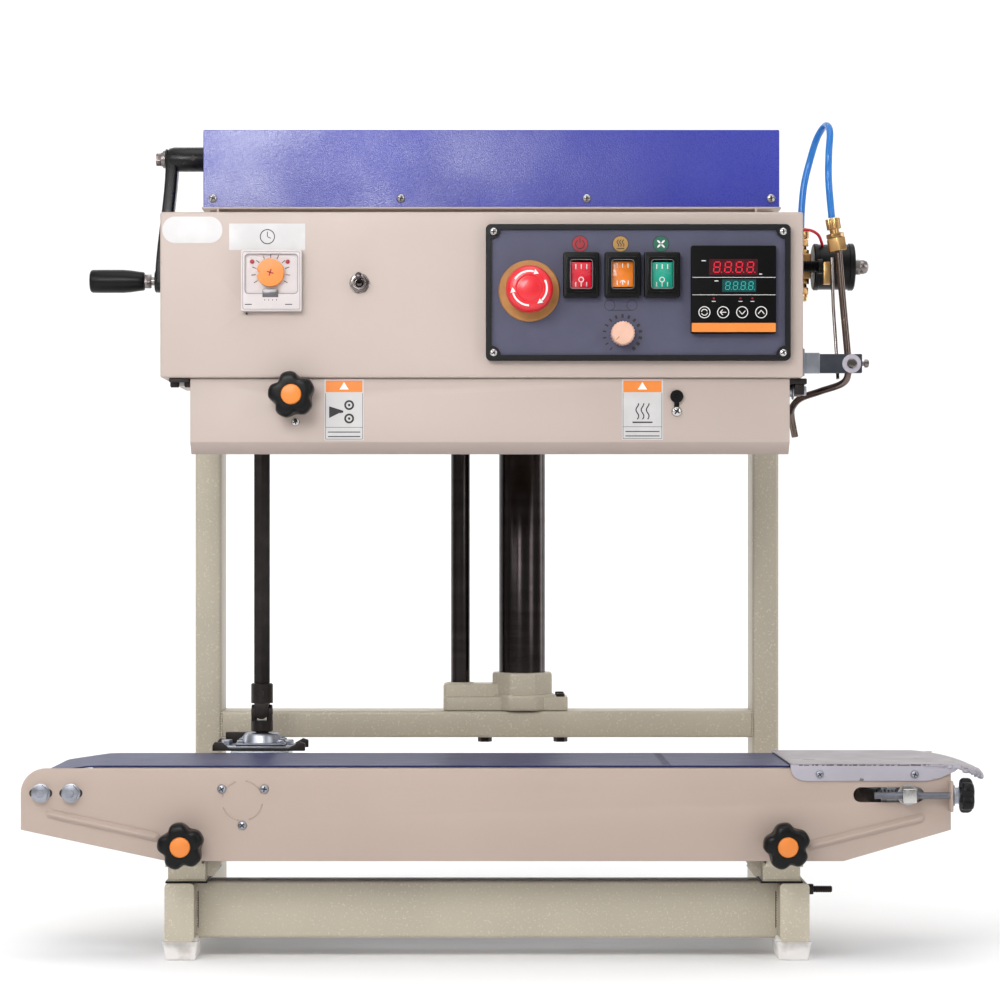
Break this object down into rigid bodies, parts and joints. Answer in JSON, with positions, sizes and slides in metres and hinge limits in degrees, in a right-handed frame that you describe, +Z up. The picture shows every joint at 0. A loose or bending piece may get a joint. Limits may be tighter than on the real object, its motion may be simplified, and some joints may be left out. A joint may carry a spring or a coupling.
{
  "type": "continuous band sealer",
  "caption": "Vertical band sealer: sealing head with control panel on a crank-raised column above a powered belt conveyor on a tubular stand, with a gas nozzle.",
  "frame": {"origin": "on the floor, under the middle of the machine's box", "axes": "+Z up, +X towards the infeed end of the conveyor, +Y from the operator's side to the rear"},
  "size_m": [0.818, 0.384, 0.74],
  "materials": {
    "khaki_paint": "hammertone stoving enamel",
    "beige_paint": "textured powder coat",
    "grey_paint": "semi-gloss paint",
    "blue_paint": "orange-peel powder coat",
    "belt_blue": "smooth coated fabric belt",
    "black_plastic": "moulded",
    "white_rubber": "moulded",
    "dark_chrome": "ground and polished",
    "zinc_steel": "zinc plated",
    "black_steel": "oxide black",
    "brass": "machined",
    "aluminium": "turned",
    "ptfe": "glass cloth coated with fluoropolymer",
    "hose_blue": "clear tinted polyurethane",
    "panel_black": "moulded",
    "red_plastic": "moulded",
    "amber_plastic": "moulded",
    "green_plastic": "moulded",
    "cream_plastic": "moulded",
    "white_plastic": "moulded"
  },
  "bodies": {
    "frame": {"foot_bar_left": "khaki_paint", "foot_bar_right": "khaki_paint", "upright_left": "khaki_paint", "upright_right": "khaki_paint", "front_beam": "khaki_paint", "cross_beam": "khaki_paint", "column_base": "khaki_paint", "conveyor_bracket_left": "khaki_paint", "conveyor_bracket_right": "khaki_paint", "conveyor_plate_front": "beige_paint", "conveyor_bed": "beige_paint", "infeed_cover": "grey_paint", "conveyor_belt": "belt_blue", "foot_pad_front_left": "white_rubber", "foot_pad_front_right": "white_rubber", "foot_pad_rear_left": "white_rubber", "foot_pad_rear_right": "white_rubber", "column": "dark_chrome", "guide_rod": "dark_chrome", "gear_housing": "zinc_steel"},
    "head": {"control_box": "beige_paint", "head_chassis": "beige_paint", "top_cover": "blue_paint", "belt_guard": "beige_paint", "front_seal_band": "ptfe", "rear_seal_band": "ptfe", "front_seal_block": "aluminium", "rear_seal_block": "aluminium", "control_panel": "panel_black", "temperature_controller": "black_plastic", "timer_body": "white_plastic", "drive_motor": "zinc_steel", "solenoid_valve": "brass", "gas_hose": "hose_blue", "gas_nozzle": "brass", "nozzle_bracket": "zinc_steel"},
    "drive_shaft": {"universal_joint": "black_steel", "hex_shaft": "black_steel"},
    "drive_roller": {"drive_roller": "aluminium"},
    "end_roller": {"end_roller": "aluminium"},
    "tail_axle": {"tail_axle": "zinc_steel"},
    "tail_roller": {"tail_roller": "aluminium"},
    "tension_screw": {"tension_screw": "black_plastic"},
    "clamp_knob_left": {"clamp_knob_left": "black_plastic"},
    "clamp_knob_right": {"clamp_knob_right": "black_plastic"},
    "estop": {"estop_button": "red_plastic"},
    "rocker_power": {"power_rocker": "red_plastic"},
    "rocker_heat": {"heat_rocker": "amber_plastic"},
    "rocker_fan": {"fan_rocker": "green_plastic"},
    "speed": {"speed_knob": "cream_plastic"},
    "timer": {"timer_dial": "amber_plastic"},
    "toggle": {"toggle_lever": "zinc_steel"},
    "guard_knob": {"guard_knob": "black_plastic"},
    "crank": {"crank_arm": "black_steel"},
    "grip": {"crank_grip": "black_plastic"},
    "lead_screw": {"lead_screw": "zinc_steel"},
    "front_drive_wheel": {"front_drive_wheel": "aluminium"},
    "front_idle_wheel": {"front_idle_wheel": "aluminium"},
    "rear_drive_wheel": {"rear_drive_wheel": "aluminium"},
    "rear_idle_wheel": {"rear_idle_wheel": "aluminium"}
  },
  "joints": [
    {"name": "head_lift", "type": "slide", "parent": "frame", "child": "head", "axis": [0, 0, 1], "range_m": [-0.11, 0.01]},
    {"name": "crank_turn", "type": "hinge", "parent": "head", "child": "crank", "pos_m": [-0.317, 0.142, 0.724], "axis": [1, 0, 0], "range_deg": [-3960, 360]},
    {"name": "screw_turn", "type": "hinge", "parent": "head", "child": "lead_screw", "pos_m": [0.0194, 0.142, 0.7], "axis": [0, 0, 1], "range_deg": [-3960, 360]},
    {"name": "grip_spin", "type": "hinge", "parent": "crank", "child": "grip", "pos_m": [-0.364, 0.142, 0.608], "axis": [1, 0, 0], "continuous": true},
    {"name": "estop_push", "type": "slide", "parent": "head", "child": "estop", "axis": [0, 1, 0], "range_m": [0, 0.004]},
    {"name": "power_rock", "type": "hinge", "parent": "head", "child": "rocker_power", "pos_m": [0.0654, -0.1665, 0.584], "axis": [1, 0, 0], "range_deg": [-16, 0]},
    {"name": "heat_rock", "type": "hinge", "parent": "head", "child": "rocker_heat", "pos_m": [0.1003, -0.1665, 0.584], "axis": [1, 0, 0], "range_deg": [0, 16]},
    {"name": "fan_rock", "type": "hinge", "parent": "head", "child": "rocker_fan", "pos_m": [0.1336, -0.1665, 0.584], "axis": [1, 0, 0], "range_deg": [-16, 0]},
    {"name": "speed_turn", "type": "hinge", "parent": "head", "child": "speed", "pos_m": [0.1004, -0.172, 0.5345], "axis": [0, 1, 0], "range_deg": [-140, 140]},
    {"name": "timer_turn", "type": "hinge", "parent": "head", "child": "timer", "pos_m": [-0.1967, -0.169, 0.5859], "axis": [0, 1, 0], "range_deg": [-140, 140]},
    {"name": "toggle_flip", "type": "hinge", "parent": "head", "child": "toggle", "pos_m": [-0.122, -0.161, 0.5778], "axis": [1, 0, 0], "range_deg": [0, 24]},
    {"name": "guard_knob_turn", "type": "hinge", "parent": "head", "child": "guard_knob", "pos_m": [-0.1785, -0.168, 0.4828], "axis": [0, 1, 0], "range_deg": [0, 720]},
    {"name": "clamp_left_turn", "type": "hinge", "parent": "frame", "child": "clamp_knob_left", "pos_m": [-0.271, -0.178, 0.103], "axis": [0, 1, 0], "range_deg": [0, 720]},
    {"name": "clamp_right_turn", "type": "hinge", "parent": "frame", "child": "clamp_knob_right", "pos_m": [0.238, -0.178, 0.103], "axis": [0, 1, 0], "range_deg": [0, 720]},
    {"name": "tension_turn", "type": "hinge", "parent": "frame", "child": "tension_screw", "pos_m": [0.379, -0.165, 0.1446], "axis": [1, 0, 0], "range_deg": [0, 2880]},
    {"name": "tail_slide", "type": "slide", "parent": "frame", "child": "tail_axle", "axis": [1, 0, 0], "range_m": [-0.01, 0]},
    {"name": "tail_roller_spin", "type": "hinge", "parent": "tail_axle", "child": "tail_roller", "pos_m": [0.3424, -0.077, 0.1446], "axis": [0, 1, 0], "continuous": true},
    {"name": "drive_roller_spin", "type": "hinge", "parent": "frame", "child": "drive_roller", "pos_m": [-0.221, -0.077, 0.1398], "axis": [0, 1, 0], "continuous": true},
    {"name": "end_roller_spin", "type": "hinge", "parent": "frame", "child": "end_roller", "pos_m": [-0.386, -0.077, 0.146], "axis": [0, 1, 0], "continuous": true},
    {"name": "shaft_spin", "type": "hinge", "parent": "frame", "child": "drive_shaft", "pos_m": [-0.22, 0.037, 0.3], "axis": [0, 0, 1], "continuous": true},
    {"name": "front_drive_spin", "type": "hinge", "parent": "head", "child": "front_drive_wheel", "pos_m": [-0.219, -0.113, 0.465], "axis": [0, 0, 1], "continuous": true},
    {"name": "front_idle_spin", "type": "hinge", "parent": "head", "child": "front_idle_wheel", "pos_m": [0.191, -0.113, 0.465], "axis": [0, 0, 1], "continuous": true},
    {"name": "rear_drive_spin", "type": "hinge", "parent": "head", "child": "rear_drive_wheel", "pos_m": [-0.219, -0.041, 0.465], "axis": [0, 0, 1], "continuous": true},
    {"name": "rear_idle_spin", "type": "hinge", "parent": "head", "child": "rear_idle_wheel", "pos_m": [0.191, -0.041, 0.465], "axis": [0, 0, 1], "continuous": true}
  ],
  "couplings": [
    {"joint": "crank_turn", "follows": "head_lift", "rad_per_m": 628.3},
    {"joint": "screw_turn", "follows": "head_lift", "rad_per_m": 628.3},
    {"joint": "tension_turn", "follows": "tail_slide", "rad_per_m": -5026},
    {"joint": "tail_roller_spin", "follows": "drive_roller_spin", "ratio": 0.9738},
    {"joint": "end_roller_spin", "follows": "drive_roller_spin", "ratio": 1.3681},
    {"joint": "shaft_spin", "follows": "drive_roller_spin", "ratio": 1},
    {"joint": "front_drive_spin", "follows": "drive_roller_spin", "ratio": -0.7125},
    {"joint": "front_idle_spin", "follows": "drive_roller_spin", "ratio": -0.7125},
    {"joint": "rear_drive_spin", "follows": "drive_roller_spin", "ratio": 0.7125},
    {"joint": "rear_idle_spin", "follows": "drive_roller_spin", "ratio": 0.7125}
  ]
}
